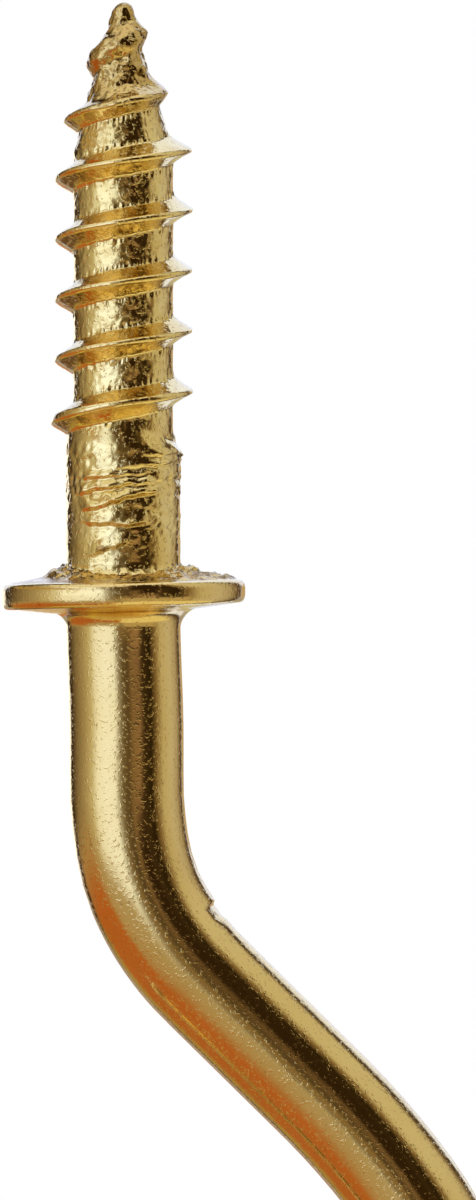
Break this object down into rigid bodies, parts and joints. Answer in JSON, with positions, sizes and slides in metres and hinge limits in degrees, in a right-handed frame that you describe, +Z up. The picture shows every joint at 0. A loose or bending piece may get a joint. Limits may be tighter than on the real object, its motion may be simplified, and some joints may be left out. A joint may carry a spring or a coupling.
{
  "type": "cup hook",
  "caption": "Brass screw-in cup hook: round wire with a coarse wood thread and gimlet point, an upset collar, a cranked shank and an open round bowl that hangs under the screw.",
  "frame": {"origin": "on the screw's axis, in the plane of the flat ring on top of the collar that bears on the shelf", "axes": "+Z up along the screw towards its point, +X towards the side on which the shank cranks away from the screw, hook in the XZ plane"},
  "size_m": [0.0212, 0.0064, 0.0472],
  "materials": {
    "brass": "bright satin, with a fine grain on the bent wire and a rough rolled surface on the screw"
  },
  "bodies": {
    "root": {"cup_hook": "brass"}
  },
  "joints": []
}
